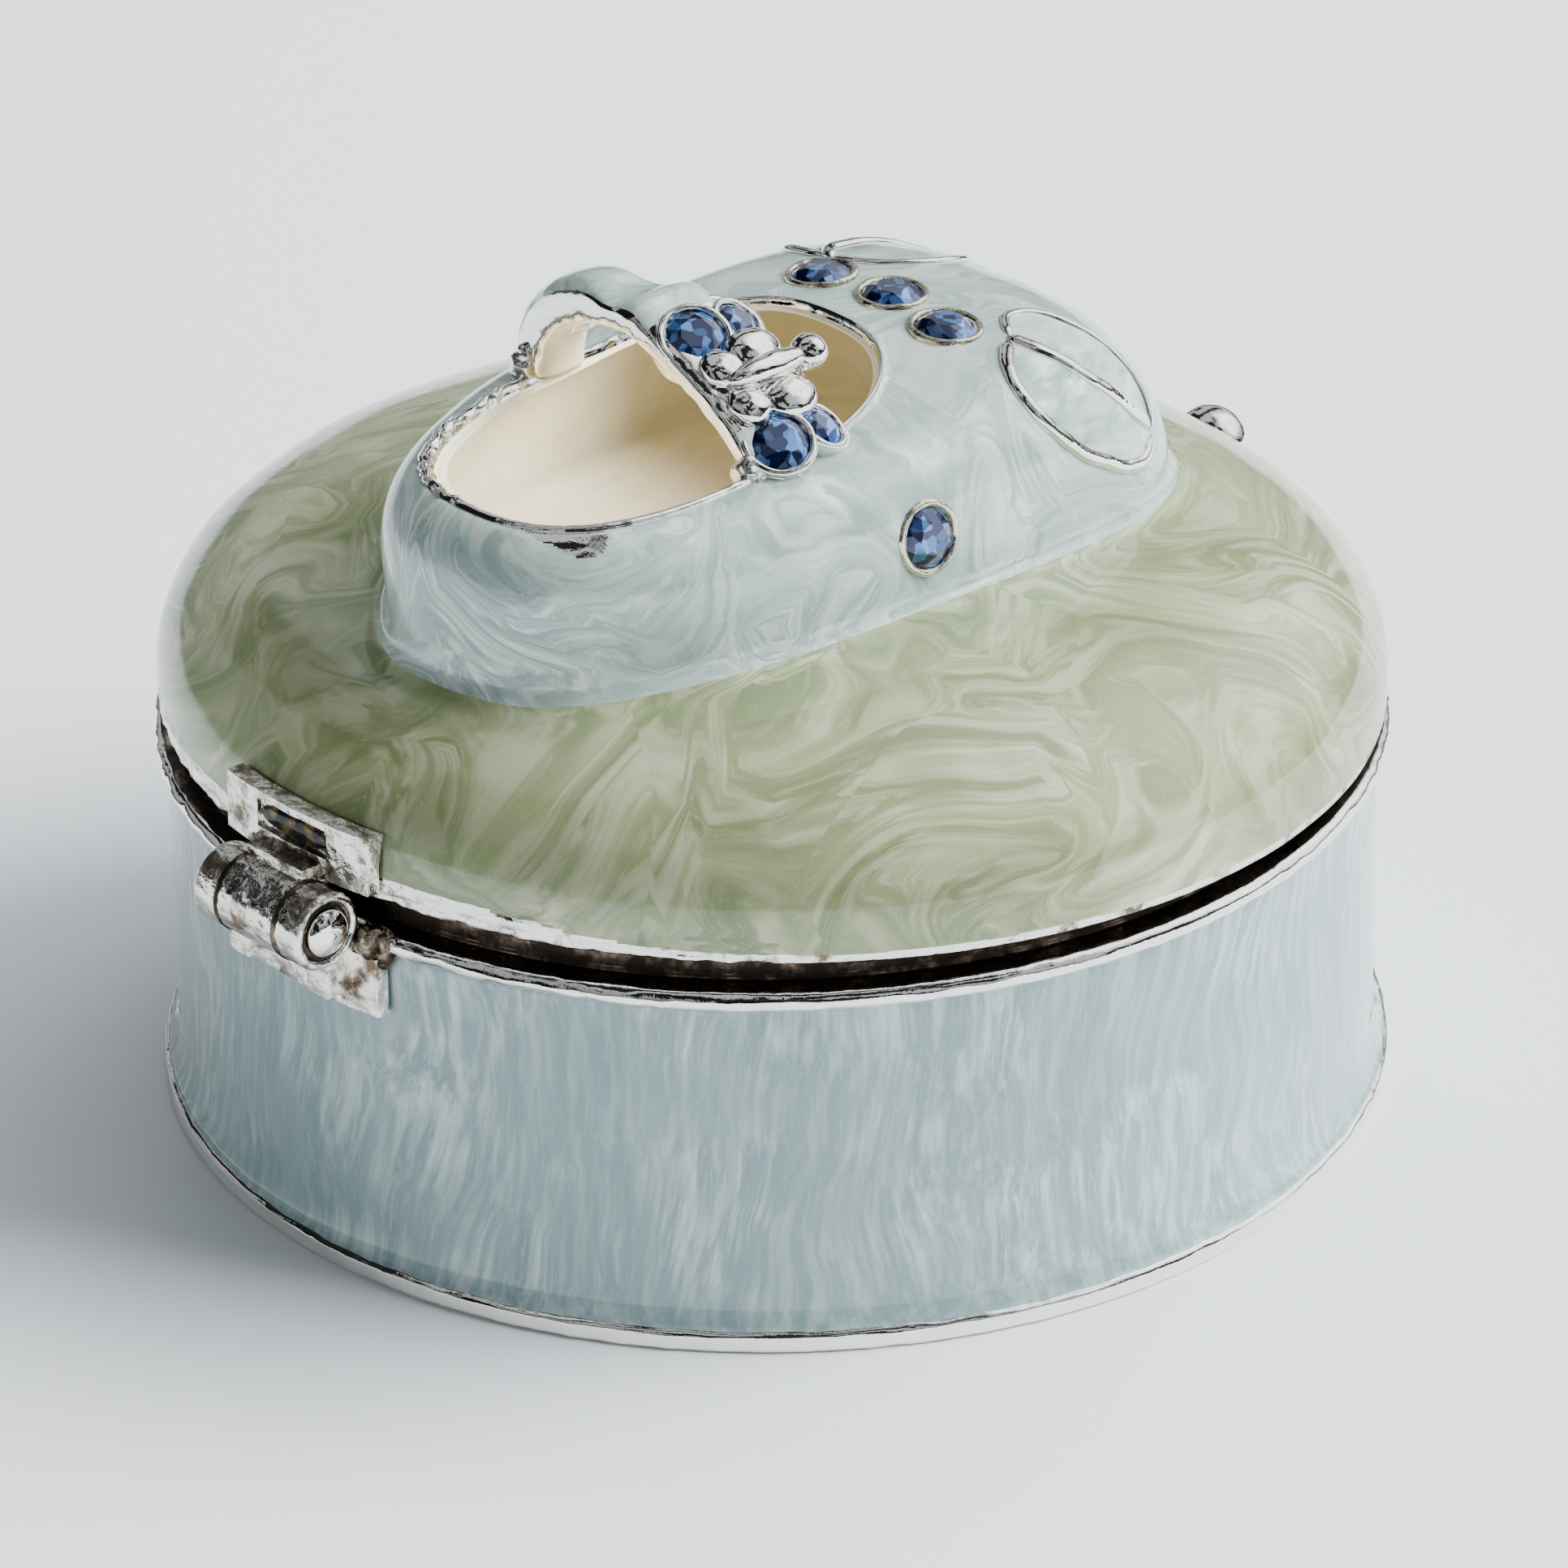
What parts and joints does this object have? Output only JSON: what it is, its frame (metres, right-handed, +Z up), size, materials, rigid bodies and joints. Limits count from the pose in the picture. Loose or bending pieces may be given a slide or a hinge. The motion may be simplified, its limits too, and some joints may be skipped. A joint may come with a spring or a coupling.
{
  "type": "hinged trinket box with a shoe on its lid",
  "caption": "Small round hinged metal trinket box with pearly enamel, a baby shoe with a crystal butterfly strap standing on its domed lid.",
  "frame": {"origin": "centre of the flat underside of the foot", "axes": "+Z up; +Y towards the hinge and the heel of the shoe; -Y towards the thumb piece and the toe; +X to the right when looking along +Y"},
  "size_m": [0.062, 0.0676, 0.0436],
  "materials": {
    "base_enamel": "glossy pearly enamel on cast metal",
    "lid_enamel": "glossy pearly enamel on cast metal",
    "silver_plate": "silver plate, softly worn",
    "blue_crystal": "faceted, polished"
  },
  "bodies": {
    "base": {"box_base": "base_enamel", "hinge_base_leaf": "silver_plate", "hinge_pin": "silver_plate"},
    "lid": {"lid_with_shoe": "lid_enamel", "hinge_lid_leaf": "silver_plate", "thumb_piece": "silver_plate", "stone_vamp_left": "blue_crystal", "stone_vamp_middle": "blue_crystal", "stone_vamp_right": "blue_crystal", "stone_side_left": "blue_crystal", "stone_side_right": "blue_crystal", "stone_wing_left_large": "blue_crystal", "stone_wing_left_small": "blue_crystal", "stone_wing_right_large": "blue_crystal", "stone_wing_right_small": "blue_crystal"}
  },
  "joints": [
    {"name": "lid_hinge", "type": "hinge", "parent": "base", "child": "lid", "pos_m": [0, 0.03235, 0.01985], "axis": [-1, 0, 0], "range_deg": [0, 100]}
  ]
}
